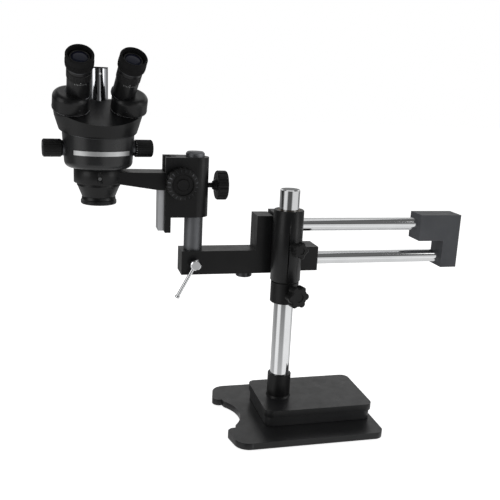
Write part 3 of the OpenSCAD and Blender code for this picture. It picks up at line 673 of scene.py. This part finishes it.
# Ticks of the dioptre scale on the eye tube, facing the operator, and the mark on its ring.
# Angles are in degrees; sizes are thickness, width and length.
OPERATOR = -90
DIOPTRE_STEPS = range(-4, 5)
DIOPTRE_STEP_ANGLE = 7
DIOPTRE_SCALE_RADIUS = 17.22
LONG_TICK, LONG_TICK_Z = (0.12, 0.35, 2.3), 29.0
SHORT_TICK, SHORT_TICK_Z = (0.12, 0.35, 1.6), 29.3
DIOPTRE_MARK, DIOPTRE_MARK_PLACE = (0.12, 0.5, 1.8), (18.02, 0, 32.8)

# profiles round a prism housing, on the deck
HOUSING_SHIM = [(20, 0.04), (26.9, 0.04), (27.05, 0.15), (26.9, 0.26), (20, 0.26)]
HOUSING_BEAD = [(26.6, 1.6), (27.2, 1.7), (27.35, 2.1), (27.2, 2.5), (26.6, 2.6)]

# screws in a prism housing's wall, at these degrees round it
HOUSING_SCREW_ANGLES = (35, 145, 250)
HOUSING_SCREW_PLACE = (26.4, 0, 9)
HOUSING_SCREW_RADIUS, HOUSING_SCREW_PROUD = 1.5, 0.9


def rib_profile(height):
    root = CUP_RADIUS - RIB_ROOT
    arc = [math.radians(a) for a in range(-90, 91, 30)]
    crown = [(CUP_RADIUS + RIB_WIRE * math.cos(a) * RIB_FLATNESS, height + RIB_WIRE * math.sin(a))
             for a in arc]
    return [(root, height - RIB_WIRE)] + crown + [(root, height + RIB_WIRE)]


def eyepiece_details(looks, side, word):
    place = tube_frame(side)
    body = "ocular_" + word
    lathe(looks, "eye_lens_" + word, EYE_LENS, place, "lens_glass", body)
    lathe(looks, "eye_lens_ring_" + word, EYE_LENS_RING, place, "knob_plastic", body)
    for n, height in enumerate(RIB_HEIGHTS):
        lathe(looks, f"eyecup_rib_{word}_{n}", rib_profile(height), place, "rubber", body)
    lathe(looks, "eyepiece_band_" + word, EYEPIECE_BAND, place, "dark_steel", body)
    ticks = []
    for i in DIOPTRE_STEPS:
        sizes, height = (SHORT_TICK, SHORT_TICK_Z) if i % 2 else (LONG_TICK, LONG_TICK_Z)
        turn = turned("Z", math.radians(OPERATOR + i * DIOPTRE_STEP_ANGLE))
        ticks.append((turn @ moved(DIOPTRE_SCALE_RADIUS, 0, height), *sizes))
    bars(looks, "dioptre_scale_" + word, ticks, place, "plate_metal", "prism_" + word)
    mark = turned("Z", math.radians(OPERATOR)) @ moved(*DIOPTRE_MARK_PLACE)
    bars(looks, "dioptre_mark_" + word, [(mark, *DIOPTRE_MARK)], place, "plate_metal",
         "dioptre_" + word)


def housing_details(looks, side, word):
    place = deck_frame(side) @ moved(side * (HOUSING_X - PIVOT_X), 0, 0)
    body = "prism_" + word
    lathe(looks, "housing_shim_" + word, HOUSING_SHIM, place, "machined_aluminium", body,
          FINE_STEPS)
    lathe(looks, "housing_bead_" + word, HOUSING_BEAD, place, "head_paint", body, FINE_STEPS)
    lathe(looks, "tube_collar_" + word, TUBE_COLLAR, tube_frame(side), "dark_steel", body)
    for n, angle in enumerate(HOUSING_SCREW_ANGLES):
        turn = turned("Z", math.radians(angle if side > 0 else 180 - angle))
        spot = place @ turn @ moved(*HOUSING_SCREW_PLACE)
        screw(looks, f"housing_screw_{word}_{n}", spot @ turned("Y", math.pi / 2),
              HOUSING_SCREW_RADIUS, HOUSING_SCREW_PROUD, "dark_steel", body)


# ---------------------------------------------------------------- head and focus drive

# trim line in the sloping seam of body and binocular housing
SEAM_TRIM = [(52, -0.9), (55.1, -0.9), (56.9, -0.5), (57.1, 0), (56.9, 0.5), (54, 0.7),
             (52, 0.7)]

# Ticks round the right-hand zoom knob, every fourth one long.
# Sizes are length, width and thickness.
ZOOM_TICKS = 24
ZOOM_TICK_PLACE = (56.6, 0, 13.42)
LONG_ZOOM_TICK, SHORT_ZOOM_TICK = (2.2, 0.45, 0.22), (1.4, 0.45, 0.22)

# cap in each zoom knob's end and collar where its shaft leaves the head, with their places
ZOOM_CAP = [(0, -0.4), (9.4, -0.4), (9.4, 0.1), (8.9, 0.5), (6.5, 0.5), (6.2, 0.2), (2.5, 0.2),
            (2.1, 0.45), (0, 0.5)]
ZOOM_CAP_X = 82.2
ZOOM_COLLAR = [(5.3, -4), (11.6, -4), (11.6, 0.4), (11.1, 0.9), (5.3, 0.9)]
ZOOM_COLLAR_X = 54.0

# rings round the objective, and the band round the nose
OBJECTIVE_GROOVE = [(26.4, -0.35), (27.0, -0.35), (27.28, 0), (27.0, 0.35), (26.4, 0.35)]
OBJECTIVE_GROOVES_Z = (366.9, 368.4, 369.9)
NOSE_BAND = [(31.2, 393.2), (32.75, 393.4), (32.9, 394.2), (32.75, 395.4), (31.2, 395.6)]

# insert in the face of each focus knob, and the pinion's plates on the focus body
FOCUS_INSERT = [(9.3, -2.9), (16.2, -2.9), (16.2, -2.3), (15.7, -1.9), (14.2, -1.9),
                (14.0, -2.2), (11.4, -2.2), (11.2, -1.9), (9.6, -1.9), (9.3, -2.2)]
PINION_PLATE = [(5.2, -0.3), (15.4, -0.3), (15.4, 1.2), (14.8, 1.7), (13.0, 1.7), (12.8, 1.5),
                (5.2, 1.5)]

# grip ribs on the sloping rim of each focus knob
GRIPS = 20
GRIP = (5.2, 1.5, 0.7)
GRIP_PLACE = (21.36, 0, -2.48)
RIM_SLOPE = math.atan2(5, 7)


def evenly(count, i):
    """Angle of the middle of step i, of count steps round a circle."""
    return math.radians((i + 0.5) * 360 / count)


def head_details(looks):
    place = head_frame()
    seam = place @ moved(0, 0, SEAM_Z) @ turned("X", SEAM_TILT)
    lathe(looks, "head_seam_trim", SEAM_TRIM, seam, "dark_steel", "head", SEAM_STEPS)
    ticks = []
    for i in range(ZOOM_TICKS):
        tick = turned("X", evenly(ZOOM_TICKS, i)) @ moved(*ZOOM_TICK_PLACE)
        ticks.append((moved(0, 0, ZOOM_Z) @ tick, *(SHORT_ZOOM_TICK if i % 4 else LONG_ZOOM_TICK)))
    bars(looks, "zoom_scale", ticks, place, "plate_metal", "zoom")
    for side, word in SIDES:
        outwards = turned("Y", side * math.pi / 2)
        cap = place @ moved(side * ZOOM_CAP_X, 0, ZOOM_Z) @ outwards
        lathe(looks, "zoom_cap_" + word, ZOOM_CAP, cap, "dark_steel", "zoom")
        collar = place @ moved(side * ZOOM_COLLAR_X, 0, ZOOM_Z) @ outwards
        lathe(looks, "zoom_collar_" + word, ZOOM_COLLAR, collar, "dark_steel", "head")
    for n, height in enumerate(OBJECTIVE_GROOVES_Z):
        lathe(looks, f"objective_groove_{n}", OBJECTIVE_GROOVE, place @ moved(0, 0, height),
              "dark_steel", "head", FINE_STEPS)
    lathe(looks, "nose_band", NOSE_BAND, place, "head_paint", "head", FINE_STEPS)


def focus_details(looks):
    knob_faces = (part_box("focus_knob_front")[0].y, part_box("focus_knob_rear")[1].y)
    body_faces = [corner.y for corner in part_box("focus_body")]
    grips = [(turned("Z", evenly(GRIPS, i)) @ moved(*GRIP_PLACE) @ turned("Y", RIM_SLOPE), *GRIP)
             for i in range(GRIPS)]
    for (face, word), y in zip(FACES, knob_faces):
        place = axle_frame(face, y)
        lathe(looks, "focus_insert_" + word, FOCUS_INSERT, place, "knob_plastic", "pinion_set")
        bars(looks, "focus_grips_" + word, grips, place, "dark_steel", "pinion_set")
    for (face, word), y in zip(FACES, body_faces):
        lathe(looks, "pinion_plate_" + word, PINION_PLATE, axle_frame(face, y), "dark_steel",
              "focus")


def add_pieces(looks):
    for side, word in SIDES:
        eyepiece_details(looks, side, word)
        housing_details(looks, side, word)
    head_details(looks)
    focus_details(looks)


# ---------------------------------------------------------------- run

make_studio()
materials = make_materials()
dress(materials)
round_edges()
add_pieces(materials)
